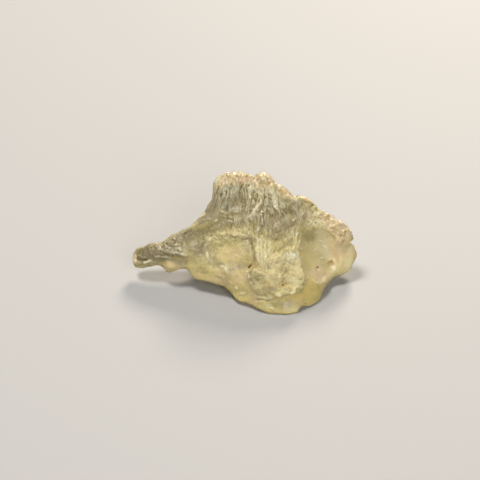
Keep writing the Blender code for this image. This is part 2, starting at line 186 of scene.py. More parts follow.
# Where the glass is olive.
MOSS = marks(
    # On the sheet.
    (-5.4, 3.6, 4.0, 1.5, 1.0, 10),
    (1.6, 8.6, 1.1, 1.6, 0.6, 10),
    (2.7, 4.4, 1.6, 1.0, 0.7, 40),
    (5.2, 6.6, 0.8, 2.2, 0.6),
    (8.8, 5.6, 2.6, 1.2, 0.6, -10),
    (-3.4, 6.2, 2.6, 0.9, 0.6, -20),
    (-4.6, 10.0, 0.7, 3.2, 0.5),
    (-3.4, 5.8, 2.6, 1.0, 0.8),
    (1.6, 9.2, 0.9, 0.6, 0.7),
    (4.2, 10.0, 0.6, 0.6, 0.8),
    (3.2, 2.4, 1.2, 1.0, 0.6),
    (-4.2, 5.0, 3.6, 1.4, 0.8, 8),
    (2.4, 3.2, 1.6, 1.6, 0.5),
    (9.8, 6.2, 1.8, 2.4, 0.5),
    # On the knob. The first mark is painted shade: an olive crescent in the scallop, under its upper
    # rim.
    (14.2, 2.0, 2.4, 2.2, 0.75, -30),
    (15.6, -9.4, 2.4, 1.6, 0.4, 30),
    # On the flutes and the lumps.
    (3.1, -7.4, 1.6, 0.9, 0.9, 8),
    (1.4, -7.8, 0.6, 0.6, 0.5),
    (6.2, -10.0, 1.3, 0.7, 0.6),
    (9.4, 0.8, 2.0, 1.6, 0.5),
    (6.2, 1.4, 2.2, 1.6, 0.6),
    (9.2, -10.0, 1.4, 0.7, 0.7),
    (9.0, -5.8, 1.0, 1.0, 0.3),
    (12.2, -7.0, 0.9, 2.2, 0.35),
    (6.2, -7.4, 1.4, 1.6, 0.35),
    # In and around the bowl.
    (-9.6, -4.6, 2.6, 1.6, 0.5, -20),
    (-3.4, -6.6, 3.0, 1.8, 0.6, -30),
    (-9.2, 0.2, 1.5, 1.4, 0.7),
    (-3.2, -2.4, 1.4, 1.2, 0.3),
    # On the tongue and the wing.
    (-11.2, 1.4, 4.4, 1.7, 1.0, 26),
    (-13.4, -3.4, 3.6, 1.2, 0.7, -5),
    (-12.0, -0.2, 1.2, 2.4, 0.9, 10),
)

# Where a fine net of wrinkles makes the glass pale and milky.
MILK = marks(
    (3.8, -2.2, 2.6, 3.6, 1.0),
    (9.2, -3.2, 4.0, 2.4, 0.8),
    (22.6, -4.4, 2.4, 2.4, 0.8),
    (10.8, -7.0, 3.4, 3.8, 1.0),
    (6.4, -6.4, 2.8, 3.2, 1.0),
    (4.4, -11.6, 4.0, 1.4, 0.2),
    (-0.8, 1.4, 3.6, 2.2, 0.8),
    (-0.4, -0.8, 1.4, 2.2, 0.8),
    (6.4, 10.8, 2.4, 2.4, 0.9),
    (0.2, 10.4, 1.2, 1.2, 0.4),
    (9.2, 8.4, 1.2, 1.2, 0.5),
    (3.0, -5.8, 1.2, 0.9, 0.6),
    (17.4, 5.6, 1.8, 1.6, 0.8, -30),
    (-8.4, -1.4, 1.0, 2.0, 0.4),
    (9.6, -10.6, 3.0, 1.2, 0.4, 5),
    (5.0, -12.2, 2.4, 0.8, 0.6, -5),
)

# Where the worn edges are frosted. Their warm peach is a painted warm sheen that stands in for the
# warm light on the top rims.
FROST_AND_SHEEN = marks(
    (-2.2, 14.4, 3.4, 2.0, 1.0, -4),
    (-5.8, 13.4, 1.6, 1.6, 0.6, 30),
    (3.8, 13.9, 3.2, 2.2, 1.0, -10),
    (8.6, 11.8, 3.4, 1.5, 0.9, -42),
    (19.6, 4.4, 4.4, 2.2, 1.0, -42),
    (22.4, 1.8, 2.2, 2.4, 1.0, -10),
    (15.9, -5.9, 0.6, 0.3, 0.8, 20),
    (19.7, -5.2, 0.5, 0.9, 0.6, 10),
    (14.0, 9.4, 2.6, 1.0, 0.4, -32),
    (-24.6, -3.4, 0.6, 1.4, 0.8),
)

# Where smooth glass is a soft beige.
BEIGE = marks(
    # Painted warm light: the foot of the scallop, where its floor faces up.
    (16.6, -6.8, 3.2, 2.2, 0.9),
    (20.8, -2.6, 2.4, 2.6, 0.7),
    (23.8, -2.2, 0.8, 1.8, 0.7),
    (19.6, 0.8, 2.2, 2.2, 0.6),
    (-1.4, -7.6, 2.4, 1.8, 0.6, -10),
    (-5.0, -6.2, 2.6, 1.2, 0.4, -20),
    (-15.6, -4.8, 3.0, 1.0, 0.6, -5),
    (-9.0, -7.4, 4.4, 1.0, 0.5, -18),
    (5.4, -9.6, 2.0, 1.4, 0.5),
    (-7.6, 6.4, 2.0, 1.6, 0.4, 40),
    (4.4, 11.8, 1.4, 1.4, 0.6),
    (-4.6, 12.4, 1.2, 1.4, 0.4),
    (6.8, 4.8, 2.2, 1.4, 0.5, -10),
    (3.0, 12.2, 1.2, 1.2, 0.4),
    (-1.8, -2.2, 3.0, 1.8, 0.5),
)

# Where the face is rough, and smooth spots in that. Elsewhere it is smooth and only gently wavy.
ROUGH = marks(
    (1.2, 8.6, 13.0, 12.0, 1.0),
    (9.6, -1.6, 4.0, 5.2, 0.9),
    (2.6, -0.6, 4.6, 4.6, 0.8),
    (6.0, -7.0, 6.4, 3.6, 0.7),
    (-6.8, -0.2, 4.2, 3.6, 0.8),
    (-14.6, 0.0, 6.4, 3.2, 0.9, 15),
    (-20.6, -2.0, 4.0, 2.0, 0.6, 10),
    (15.4, 5.0, 3.4, 2.0, 0.9, -15),
    (19.8, 4.4, 5.6, 2.8, 1.0, -40),
    (13.6, 7.2, 3.6, 3.0, 0.7, -30),
    (23.4, 1.2, 1.4, 2.6, 0.6, -15),
)
SMOOTH = marks(
    (16.6, -2.6, 5.4, 6.8, 1.0, 10),
    (-3.4, -2.6, 3.2, 2.8, 0.8),
    (22.0, -3.4, 3.4, 4.2, 0.9),
    (-4.4, -8.0, 5.0, 3.0, 0.9, -20),
    (3.0, -7.4, 1.8, 1.2, 0.6),
    (-12.0, 0.0, 1.3, 2.0, 0.95, 10),
)

# Rough ground where the fine folds lie lower, and larger forms show.
CALM = marks(
    (4.1, -2.0, 2.8, 3.8, 0.6),
    (10.8, -7.0, 2.9, 3.3, 0.7),
    (6.4, -7.2, 2.6, 3.4, 0.7),
    (2.8, -7.6, 2.8, 2.6, 0.7),
    (-3.6, -2.2, 3.6, 2.8, 0.7),
    (-10.4, 1.2, 4.0, 1.8, 0.5, 26),
    (-1.9, 8.8, 2.6, 3.4, 0.9),
    (6.8, 4.6, 2.6, 1.8, 0.7, -20),
    (2.2, 7.0, 2.4, 1.2, 0.6, 58),
    (-3.2, 6.4, 3.0, 1.8, 0.6),
    (-9.6, 0.0, 1.8, 1.8, 0.6),
    (-15.6, 0.2, 4.0, 2.0, 0.3, 15),
    (-20.4, -2.0, 3.4, 1.8, 0.3, 10),
    (-5.6, 3.6, 3.6, 1.3, 0.8, 10),
)

# Where the fine lines are ridges, with painted light on them and painted shade between them. On the
# rest of the rough ground they are dark cracks.
RIDGED = marks(
    (1.2, 10.0, 12.5, 8.6, 1.0),
    (-14.6, 0.2, 6.4, 3.2, 0.8, 15),
    (15.4, 5.0, 3.4, 2.0, 0.9, -15),
    (19.8, 4.4, 6.0, 3.4, 1.0, -40),
    (13.6, 7.2, 3.6, 3.0, 0.8, -30),
    (9.8, -3.0, 2.4, 1.6, 0.8),
    (10.6, 0.6, 2.6, 3.0, 0.8),
    (-5.6, 1.6, 4.4, 1.6, 0.7),
    (0.4, 1.2, 1.8, 2.4, 0.7),
    (4.0, -2.0, 2.6, 3.4, 0.8),
    (7.4, -10.8, 5.4, 1.0, 0.6, 8),
)

# Small painted highlights: pale glints on the crest, the sheet, the knob, the lumps and the wing.
PAINTED_GLINTS = marks(
    # On the crest.
    (-6.1, 13.7, 0.4, 0.8, 0.9, -45),
    (-7.1, 12.4, 0.3, 0.6, 0.6),
    (-4.9, 14.3, 0.5, 0.25, 1.0),
    (-3.4, 13.2, 0.4, 0.3, 0.7),
    (-1.9, 12.3, 0.22, 0.6, 0.8),
    (-0.3, 11.0, 0.18, 0.7, 0.7),
    (0.9, 13.2, 0.25, 0.6, 0.9),
    (1.4, 12.0, 0.2, 0.6, 0.7),
    (5.2, 12.4, 0.3, 0.6, 0.9),
    (5.6, 11.3, 0.6, 0.35, 1.0),
    (8.7, 12.0, 0.3, 0.5, 0.8, 40),
    (9.5, 10.6, 0.2, 0.7, 0.8, 20),
    # On the sheet.
    (-9.3, 6.5, 0.5, 0.7, 0.9, -45),
    (-6.2, 5.1, 0.4, 0.35, 0.6),
    (6.5, 8.7, 0.8, 0.3, 0.7, 30),
    (6.6, 9.2, 0.3, 0.25, 0.9),
    (7.0, 8.3, 0.3, 0.3, 0.8),
    (10.6, 5.0, 0.3, 0.3, 0.9),
    (11.6, 2.2, 0.35, 0.3, 0.9),
    (0.5, 5.4, 0.18, 0.6, 0.8, -10),
    (3.0, 8.3, 1.0, 0.3, 1.0, 59),
    (2.2, 7.0, 1.0, 0.32, 1.0, 57),
    (1.4, 5.7, 0.8, 0.26, 0.9, 60),
    (5.0, 9.3, 0.5, 0.2, 0.9, 70),
    (3.0, 3.2, 0.8, 0.18, 0.8, 55),
    (3.8, 5.0, 0.18, 0.7, 0.8, -10),
    (1.0, 2.6, 0.3, 0.3, 0.9),
    (-6.4, 4.9, 0.3, 0.3, 0.9),
    (-9.9, 5.9, 0.25, 0.5, 0.9, -40),
    # On the shoulder.
    (12.7, 6.4, 0.3, 0.25, 0.8),
    # On the knob.
    (19.8, -5.5, 0.45, 0.75, 1.0, 10),
    (17.5, -7.5, 0.6, 0.5, 0.6),
    (16.6, 0.4, 1.0, 0.25, 0.55, -20),
    (17.6, -0.7, 0.9, 0.25, 0.55, -35),
    (15.8, -1.2, 0.9, 0.25, 0.5, 30),
    (17.3, -3.2, 0.8, 0.3, 0.6),
    (16.3, -5.8, 0.5, 0.16, 0.8),
    (15.8, -6.3, 0.35, 0.18, 0.7),
    (22.8, -5.4, 1.2, 0.2, 0.6, 50),
    (23.4, -4.6, 1.0, 0.2, 0.6, 60),
    (20.8, 4.8, 0.7, 0.18, 0.9, -45),
    (22.2, 3.4, 0.7, 0.18, 0.9, -55),
    (21.6, 1.1, 0.5, 0.2, 0.8, -40),
    (20.1, 2.4, 0.5, 0.18, 0.7, -60),
    (18.9, 4.2, 0.5, 0.18, 0.8, 70),
    (17.6, 4.0, 0.18, 0.7, 0.8, 5),
    (16.3, 4.7, 0.18, 0.7, 0.9, -12),
    (15.1, 4.4, 0.18, 0.7, 0.8, -10),
    (14.2, 5.2, 0.16, 0.5, 0.7),
    # On the flutes and the lumps.
    (10.3, -2.8, 1.3, 1.0, 0.7),
    (3.0, 0.8, 0.8, 0.5, 0.6),
    (5.3, 0.2, 0.4, 0.7, 0.7, 15),
    (12.1, 0.4, 0.35, 0.3, 0.9),
    (12.5, -1.1, 0.3, 0.3, 0.8),
    (12.0, -2.2, 0.25, 0.3, 0.8),
    (0.8, -7.1, 0.18, 0.6, 0.9),
    (1.3, -8.6, 0.6, 0.16, 1.0, -25),
    (2.3, -9.1, 0.6, 0.14, 0.9, 5),
    (12.2, -9.6, 0.6, 0.16, 0.9, 15),
    (13.1, -7.0, 0.14, 1.0, 0.8),
    (12.4, -3.2, 0.2, 0.5, 0.7),
    # On the lip.
    (7.5, -11.2, 0.5, 0.2, 0.9, 10),
    (5.4, -11.8, 0.3, 0.25, 0.9),
    (3.4, -11.8, 0.4, 0.2, 0.9),
    # In and around the bowl.
    (-8.3, -2.4, 0.35, 0.8, 0.9),
    (0.3, -6.2, 0.5, 0.14, 0.8, 40),
    (-7.4, -5.2, 0.6, 0.16, 0.7, 30),
    (-8.4, -3.9, 0.7, 0.2, 0.5, -10),
    (-3.0, -8.6, 1.4, 0.14, 0.5, -35),
    (-7.7, 0.9, 0.3, 0.3, 0.8),
    # On the tongue and the wing.
    (-15.8, -2.1, 1.5, 0.35, 1.0, -6),
    (-13.6, -2.5, 0.9, 0.35, 0.9, -12),
    (-14.2, -1.2, 1.1, 0.3, 0.7, -8),
    (-17.8, -3.0, 0.9, 0.3, 0.6),
    (-21.7, -4.15, 0.8, 0.28, 1.0, 8),
    (-22.6, -3.2, 0.7, 0.22, 1.0, -4),
    (-12.3, 2.4, 0.3, 0.3, 0.7),
    (-15.2, -0.3, 0.5, 0.25, 0.7, 10),
    (-16.9, -0.9, 0.35, 0.25, 0.7),
    (-19.4, -3.0, 0.9, 0.25, 0.5, 5),
    (-14.2, -1.4, 0.22, 0.5, 0.9),
    (-15.6, 0.9, 0.2, 0.3, 0.8),
)

# Where the streaks reach down between the bowl and the lumps.
FLUTES = Mark(4.0, -1.8, 2.1, 3.5, 1.0)

# Small crumbs that stand out, with painted light on them. Their strength is their height, in mm.
CRUMBS = marks(
    (10.4, -10.7, 0.7, 0.35, 0.35, 20),
    (9.2, -10.6, 0.5, 0.35, 0.25),
    (7.3, -11.2, 0.8, 0.35, 0.35, 10),
    (5.5, -11.8, 0.5, 0.35, 0.3),
    (3.4, -11.8, 0.6, 0.35, 0.25),
    (12.2, -9.6, 0.8, 0.35, 0.3, 15),
    (-0.5, -11.0, 0.8, 0.4, 0.25),
    (-2.0, -9.7, 0.5, 0.4, 0.2, 20),
    (-7.0, -4.6, 0.7, 0.3, 0.12, 20),
    (-5.6, -7.2, 1.2, 0.3, 0.15, -30),
    (5.9, -14.3, 0.5, 0.35, 0.2),
    (9.6, -13.2, 0.4, 0.3, 0.15),
)

# The scallop in the knob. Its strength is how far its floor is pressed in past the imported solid's,
# in mm.
SCALLOP = Mark(16.5, -2.6, 4.7, 6.0, 0.3, 10)

# Pits and dents. Their strength is their depth, in mm, and one that is below 0 fills a hollow.
PITS = marks(
    (1.0, -5.1, 0.6, 0.22, 0.15, 45),
    (8.2, -9.05, 0.22, 0.22, 0.12),
    (16.15, -5.3, 0.34, 0.15, 0.12, -10),
    (19.05, -4.5, 0.3, 0.75, 0.1, -10),
    (13.2, -13.2, 0.22, 0.22, 0.1),
    (4.4, -11.5, 0.35, 0.5, 0.25, 20),
    (6.2, -11.4, 0.3, 0.5, 0.25, -10),
    (8.2, -10.9, 0.35, 0.5, 0.3, 30),
    (9.9, -10.5, 0.3, 0.55, 0.3, -20),
    (11.4, -10.1, 0.35, 0.5, 0.3, 10),
    (7.2, -10.4, 0.6, 0.25, 0.2, 10),
    (5.2, -10.9, 0.5, 0.25, 0.15, -10),
    (1.9, -9.3, 1.2, 0.9, -0.35, -50),
    (3.0, -10.4, 1.2, 0.9, -0.4, -45),
    (4.1, -11.4, 1.1, 0.8, -0.3, -40),
)

# The clay in some of the pits. Where it is weak the glass is only stained with it.
CLAY = marks(
    # On the crest.
    (-4.2, 14.2, 0.5, 0.14, 0.35, 20),
    (-2.4, 13.6, 0.45, 0.14, 0.3, -15),
    (-0.6, 14.0, 0.16, 0.4, 0.4),
    (1.0, 13.6, 0.16, 0.45, 0.4, 10),
    (3.8, 13.3, 0.18, 0.5, 0.45, 25),
    (4.9, 13.8, 0.18, 0.4, 0.4, -25),
    (2.9, 14.4, 0.16, 0.3, 0.35, 20),
    (8.0, 12.2, 0.4, 0.14, 0.35, -40),
    (9.3, 11.4, 0.4, 0.15, 0.4, -45),
    # On the knob.
    (16.15, -5.3, 0.34, 0.16, 0.9, -10),
    (16.0, -5.9, 0.7, 0.3, 0.1, 10),
    (19.05, -4.5, 0.4, 0.8, 0.4, -10),
    (19.15, -4.4, 0.3, 0.15, 0.4),
    (19.4, 3.4, 0.25, 0.3, 0.4),
    (21.4, 2.0, 0.28, 0.2, 0.35),
    (22.0, 0.9, 0.25, 0.2, 0.35),
    (18.4, 5.0, 0.25, 0.2, 0.3),
    (17.4, 6.0, 0.4, 0.16, 0.3, -20),
    (20.6, 3.9, 0.4, 0.14, 0.35, -40),
    # On the flutes and the lumps.
    (1.0, -5.1, 0.58, 0.22, 1.0, 45),
    (8.2, -9.05, 0.22, 0.22, 1.0),
    (8.7, -8.9, 0.8, 0.5, 0.16),
    # On the lip.
    (13.2, -13.2, 0.2, 0.2, 0.9),
    # In and around the bowl.
    (0.0, -3.2, 0.9, 0.45, 0.12, 20),
)

# Fine ridges and grooves: the line that each follows, its half width, and its rise, in mm.
LINES = {
    "crease of the tongue": ([(-24.2, -3.7), (-22.8, -3.75), (-21.8, -3.9)], 0.25, -0.4),
    "ridge under the crease": ([(-22.4, -4.35), (-21.7, -4.2), (-21.1, -4.1)], 0.35, 0.35),
    "ridge over the crease": ([(-23.7, -2.9), (-22.8, -3.1), (-22.0, -3.25)], 0.25, 0.35),
    "crack over the bowl": ([(-3.0, 1.3), (-1.6, 1.25), (-0.4, 0.9), (0.7, 0.8)], 0.35, -0.4),
    "crack in the bowl's edge": ([(-2.4, 0.5), (-1.2, 0.55), (-0.2, 0.1)], 0.3, -0.25),
    "left rim of the bowl": ([(-7.9, 0.6), (-8.6, -1.0), (-8.3, -2.6), (-7.2, -4.2)], 0.5, 0.3),
    "lower rim of the bowl": ([(-7.4, -4.6), (-5.0, -5.2), (-2.2, -5.2)], 1.1, -0.2),
    "fold left of the bowl": ([(-9.6, 0.3), (-10.2, -1.4), (-9.7, -3.4)], 0.5, 0.2),
    "streak down the spine": ([(3.4, 9.0), (2.6, 7.4), (1.7, 6.3), (1.2, 5.2)], 0.55, 0.6),
    "groove left of the spine": ([(2.4, 9.3), (1.6, 8.0), (0.8, 6.3)], 0.5, -0.4),
    "groove right of the spine": ([(4.1, 9.0), (3.5, 7.4), (2.6, 5.6)], 0.45, -0.3),
    "dark groove": ([(0.9, 1.1), (1.3, -0.4), (1.75, -2.2), (1.8, -4.1)], 0.4, -0.35),
    "first flute": ([(2.5, 1.2), (2.5, -1.5), (2.8, -4.3)], 0.3, 0.22),
    "groove beside the first flute": ([(3.0, 0.2), (3.1, -1.8), (3.3, -3.6)], 0.2, -0.2),
    "second flute": ([(3.6, 0.6), (3.55, -1.6), (3.7, -4.2)], 0.3, 0.15),
    "groove after the second flute": ([(4.1, 0.4), (3.95, -1.8), (4.1, -4.2)], 0.25, -0.3),
    "third flute": ([(4.6, 0.6), (4.5, -1.4), (4.5, -3.8)], 0.3, 0.2),
    "groove after the third flute": ([(5.1, 0.6), (4.9, -1.2), (4.9, -3.0)], 0.25, -0.2),
    "fourth flute": ([(5.5, 0.9), (5.5, -0.3), (5.4, -1.8)], 0.3, 0.2),
    "fold right of the flutes": ([(5.3, -3.2), (4.9, -4.6), (5.0, -6.0)], 0.35, -0.2),
    "crack between the lumps": ([(8.8, -5.2), (8.9, -5.8), (8.5, -6.8), (8.3, -8.4)], 0.22, -0.3),
    "edge of the round lump": (
        [(9.6, -4.3), (11.4, -4.6), (12.8, -5.6), (13.4, -7.2), (13.0, -9.0), (11.6, -9.9)],
        0.3,
        -0.3,
    ),
    "fold over the right lumps": ([(6.2, -4.4), (7.4, -4.2), (8.6, -3.6)], 0.3, -0.15),
    "edge of the left lump": ([(1.6, -5.6), (0.8, -6.8), (1.1, -8.3), (2.3, -9.2)], 0.25, -0.1),
    "rim of the left lump": ([(2.0, -5.9), (1.3, -6.9), (1.5, -8.1), (2.6, -8.8)], 0.35, 0.15),
    "shelf in the round lump": ([(9.8, -6.9), (11.4, -7.2), (12.4, -7.9)], 0.25, -0.15),
    "crease in the left lump": ([(2.2, -7.4), (3.2, -7.1), (4.4, -7.3), (5.4, -6.9)], 0.25, -0.15),
    "crease in the middle lump": (
        [(6.0, -5.6), (6.6, -5.2), (7.6, -5.5), (8.0, -6.2)], 0.22, -0.15
    ),
    "mark in the bowl": ([(-6.0, -0.9), (-5.4, -0.5), (-4.8, -0.6)], 0.25, -0.15),
    "lip of the round lump": ([(10.4, -8.9), (11.8, -8.7), (12.8, -8.2)], 0.3, 0.15),
    "right edge of the sheet": ([(11.2, 9.5), (11.9, 8.3), (12.3, 7.0), (12.6, 6.0)], 0.35, 0.4),
    "foot of that edge": ([(11.9, 9.3), (12.5, 8.2), (12.9, 7.0)], 0.4, -0.4),
    "lower rim of the scallop": (
        [(14.4, -7.6), (15.2, -8.5), (16.6, -8.7), (17.8, -8.2)], 0.35, 0.3
    ),
    "ridge down the knob": ([(19.5, -3.8), (19.9, -5.0), (19.6, -6.2)], 0.4, 0.25),
    "foot of the lumps": (
        [(2.6, -12.3), (4.6, -12.4), (6.6, -12.0), (8.6, -11.5), (10.6, -11.1), (12.2, -10.3)],
        0.35,
        -0.3,
    ),
    "ledge on the shoulder": ([(12.6, 9.3), (14.0, 8.9), (15.3, 8.3)], 0.35, -0.35),
    "upper streak on the wing": ([(-15.6, -0.4), (-14.4, -0.6), (-13.6, -1.4)], 0.3, 0.2),
    "middle streak on the wing": ([(-17.2, -1.7), (-15.6, -2.0), (-13.8, -2.4)], 0.35, 0.25),
    "lower streak on the wing": ([(-19.2, -3.0), (-17.8, -3.0), (-16.6, -3.3)], 0.3, 0.2),
    "crinkles right of the wing": ([(-11.6, -1.3), (-10.2, -1.6), (-9.2, -1.2)], 0.3, 0.2),
    "crease right of the wing": ([(-9.3, 1.2), (-8.9, 0.0), (-9.5, -1.2)], 0.4, -0.3),
    "groove under the wing": ([(-16.0, -2.9), (-13.6, -3.2), (-11.6, -3.1)], 0.45, -0.25),
    "fold under the grey glass": ([(-7.4, 3.2), (-5.2, 4.4), (-3.0, 4.5), (-0.8, 3.9)], 0.5, 0.3),
    "upper crinkle in the grey glass": (
        [(-5.8, 6.5), (-4.2, 6.1), (-2.6, 6.4), (-1.0, 6.2)], 0.3, -0.3
    ),
    "lower crinkle in the grey glass": ([(-5.2, 5.5), (-3.8, 5.0), (-2.4, 5.2)], 0.3, -0.25),
    "fold over the olive band": ([(-12.6, 3.4), (-10.2, 4.6), (-8.0, 5.4)], 0.5, 0.2),
}

# How far the relief of a line reaches, in its half widths, and how much painted light on its ridge or
# painted shade in its groove each mm of its rise gives.
LINE_REACH = 1.4
LINE_TONE = 2.5

# The bite out of the knob's edge, from the front to the back. Its strength is how far it is pressed
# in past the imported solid's, in mm.
BITE = Mark(24.4, 0.15, 0.85, 0.6, 0.75)

# The scallop's floor ends at SCALLOP_EDGE, where its outline is at 1. On the knob's outer side it
# fades over the stretch of SCALLOP_END, which slants by SCALLOP_SLANT mm across for each mm up.
SCALLOP_EDGE = (1.0, 0.93)
SCALLOP_END = (18.5, 21.5)
SCALLOP_SLANT = 0.3

# The colours of the glass, of what is worn into it, and of the light and shade that are painted on
# it.
TONES = {
    "thin glass": (0.275, 0.235, 0.12),
    "thick glass": (0.80, 0.64, 0.20),
    "rosy stain": (0.58, 0.46, 0.33),
    "green stain": (0.54, 0.51, 0.18),
    "milky glass": (0.98, 0.88, 0.50),
    "scallop": (0.97, 0.87, 0.50),
    "beige glass": (0.98, 0.78, 0.51),
    "olive glass": (0.42, 0.36, 0.14),
    "painted warm sheen": (1.0, 0.77, 0.45),
    "painted shade in the hollows": (0.40, 0.33, 0.15),
    "painted light on the heights": (0.92, 0.86, 0.64),
    "dark clouds": (0.58, 0.48, 0.20),
    "pale clouds": (0.98, 0.92, 0.58),
    "frost": (1.0, 0.79, 0.47),
    "painted furrow shade": (0.42, 0.25, 0.07),
    "painted warm glints": (1.0, 0.85, 0.56),
    "painted shade in the folds": (0.22, 0.16, 0.07),
    "painted warm shade in the folds": (0.62, 0.39, 0.15),
    "ridges": (0.99, 0.93, 0.62),
    "painted warm light on the folds": (1.0, 0.83, 0.52),
    "veins": (0.42, 0.32, 0.13),
    "cracks": (0.34, 0.26, 0.11),
    "painted glints": (1.0, 0.95, 0.71),
    "beads_of_light": (0.97, 0.91, 0.68),
    "clay stain": (0.62, 0.38, 0.12),
    "clay": (0.13, 0.06, 0.02),
}

# A Mix node's sockets for colours, which have the same names as those for numbers.
MIX_SHARE = 0
MIX_BASE = 6
MIX_OVER = 7
MIX_RESULT = 2

# What is the same all over the glass: it is frosted, half see-through, and scatters light inside.
GLASS = {
    "IOR": 1.46,
    "Coat Roughness": 0.18,
    "Transmission Weight": 0.5,
    "Subsurface Weight": 1.0,
    "Subsurface Radius": (1.0, 0.85, 0.5),
    "Subsurface Scale": 0.3 * MM,
}
BUMP_HEIGHT = 0.4 * MM

# The lamps: place, width of the square and colour, with lengths in mm. All shine on LAMP_AIM.
LAMPS = {
    "key": ((-240.0, 120.0, 780.0), 240.0, (1.0, 0.97, 0.93)),
    "rim": ((180.0, 600.0, 420.0), 200.0, (1.0, 0.88, 0.74)),
    "front": ((270.0, -780.0, 450.0), 600.0, (0.97, 0.98, 1.0)),
}
LAMP_AIM = (0.0, 0.0, 8.0)
SKY_COLOUR = (0.95, 0.97, 1.0, 1.0)

# Half the width of the floor, in metres.
FLOOR_REACH = 1.5
FLOOR_ROUGHNESS = 0.7

# The camera's lens and film width, how far it is from the place that it looks at, and that place:
# how far across, up and behind the middle of the face. All are in mm.
LENS = 120.0
FILM = 36.0
CAMERA_DISTANCE = 354.0
SIGHT = (-1.1, 0.66, 7.0)


def length_setting(name, description, default, smallest=0.0):
    """A length on the stone that a user may change. The numbers given are in mm."""
    return FloatProperty(
        name=name,
        description=description,
        default=default * MM,
        min=smallest * MM,
        max=1.0 * MM,
        precision=5,
        unit="LENGTH",
    )


def colour_setting(name, description, default):
    """A colour that a user may change."""
    return FloatVectorProperty(
        name=name, description=description, default=default, min=0.0, max=1.0, subtype="COLOR"
    )


def power_setting(name, light, default):
    """The power of a lamp, which a user may change."""
    return FloatProperty(
        name=name, description=f"Power of the {light}, in watts", default=default, min=0.0, max=100.0
    )


class StoneSettings(bpy.types.PropertyGroup):
    """What a user may change on the stone."""

    grain: length_setting("Grain", "Size of the mesh's small faces", 0.2, smallest=0.1)
    wrinkle: length_setting("Wrinkle height", "Height of the small folds on rough ground", 0.26)
    streak: length_setting("Streak height", "Height of the streaks that fan down from the crest", 0.2)
    wave: length_setting("Wave height", "Height of the soft waves on all of the stone", 0.16)
    straw: colour_setting("Glass", "Colour of the plain glass", (0.77, 0.67, 0.30))
    depth_colour: colour_setting("Depth", "Colour that thick glass takes", (0.90, 0.80, 0.42))
    depth_strength: FloatProperty(
        name="Depth strength",
        description="How fast the glass takes that colour, per metre",
        default=50.0,
        min=0.0,
        max=1000.0,
    )
    seed: IntProperty(
        name="Seed",
        description="Which of the many possible patterns of small folds the stone has",
        default=7,
        min=0,
        max=999,
    )


class StageSettings(bpy.types.PropertyGroup):
    """What a user may change on the floor and the lights."""

    floor_colour: colour_setting("Floor", "Colour of the floor", (0.31, 0.307, 0.30))
    key_power: power_setting("Key light", "large soft light over the stone", 7.0)
    rim_power: power_setting("Rim light", "warm light behind the stone", 6.5)
    front_power: power_setting("Front light", "large soft light in front of the stone", 6.5)
    sky: FloatProperty(
        name="Sky",
        description="Brightness of the even light from all sides",
        default=0.17,
        min=0.0,
        max=10.0,
    )


def ease(amount):
    """0 below 0, 1 above 1, and a smooth rise between."""
    amount = np.clip(amount, 0.0, 1.0)
    return amount * amount * (3.0 - 2.0 * amount)


def ramp(values, start, end):
    """0 at start, 1 at end, smooth between."""
    return ease((values - start) / (end - start))


def rim_distance(across, up, mark):
    """0 in the mark's middle and 1 on its outline."""
    turn = math.radians(mark.turn)
    dx, dz = across - mark.across, up - mark.up
    along = dx * math.cos(turn) + dz * math.sin(turn)
    over = dz * math.cos(turn) - dx * math.sin(turn)
    return np.hypot(along / mark.half_x, over / mark.half_y)


def oval(across, up, mark):
    """1 in the mark's middle, falling to 0 a little outside its outline."""
    return 1.0 - ramp(rim_distance(across, up, mark), *FADE)


def mask(across, up, group):
    """The marks of a group laid over each other, each at its own strength."""
    left = np.ones_like(across)
    for mark in group:
        left = left * (1.0 - mark.strength * oval(across, up, mark))
    return 1.0 - left


def each(points, measure):
    """measure of every point, as an array."""
    return np.array([measure(Vector(point)) for point in points])


def clouds(points, size, seed):
    """Soft noise about 0, whose largest features are about this many mm across."""
    shifted = points / size + seed * 13.7
    return each(shifted, lambda p: noise.fractal(p, 0.9, 2.0, 2))


def folds(points, size, seed):
    """Sharp-crested folds, from about 0 in the valleys to 1 on the crests."""
    shifted = points / size + seed * 7.3
    return each(shifted, lambda p: 1.0 - 2.0 * abs(noise.noise(p)))


def cracks(points, size, width, seed):
    """1 along the borders of irregular cells of about this size, 0 inside them."""
    shifted = points / size + seed * 5.9

    def gap(place):
        near = noise.voronoi(place)[0]
        return near[1] - near[0]

    return 1.0 - ramp(each(shifted, gap), 0.0, width)


def line_distance(across, up, points):
    """How far each place is from a line through the points."""
    near = np.full_like(across, np.inf)
    for (x0, z0), (x1, z1) in zip(points, points[1:]):
        run, climb = x1 - x0, z1 - z0
        along = ((across - x0) * run + (up - z0) * climb) / (run * run + climb * climb)
        along = np.clip(along, 0.0, 1.0)
        near = np.minimum(near, np.hypot(across - x0 - along * run, up - z0 - along * climb))
    return near


def face_frame(points):
    """The points, in mm of the part's frame, as across, up and deep in the plane of the face."""
    y = points[:, 1] - MIDDLE[0]
    z = points[:, 2] - MIDDLE[1]
    up = math.sin(LEAN) * y + math.cos(LEAN) * z
    deep = math.cos(LEAN) * y - math.sin(LEAN) * z
    return np.stack([points[:, 0], up, deep], axis=1)


def wandered(place, size, reach, seed):
    """The places shifted sideways by about reach, in mm, so that what is drawn on them wavers."""
    shift = [clouds(place, size, seed), clouds(place, size, seed + 1), np.zeros(len(place))]
    return place + reach * np.stack(shift, axis=1)


def flow(place, sheet):
    """The places in a frame that draws small patterns out along the streaks on the sheet."""
    aside = place[:, 0] - FAN[0]
    below = FAN[1] - place[:, 1]
    swing = FAN[0] + np.arctan2(aside, below) * FAN_REACH
    fall = (FAN[1] - np.hypot(aside, below)) / STREAK_LENGTH
    streaky = np.stack([swing, fall, place[:, 2]], axis=1)
    return place + (streaky - place) * sheet[:, None]


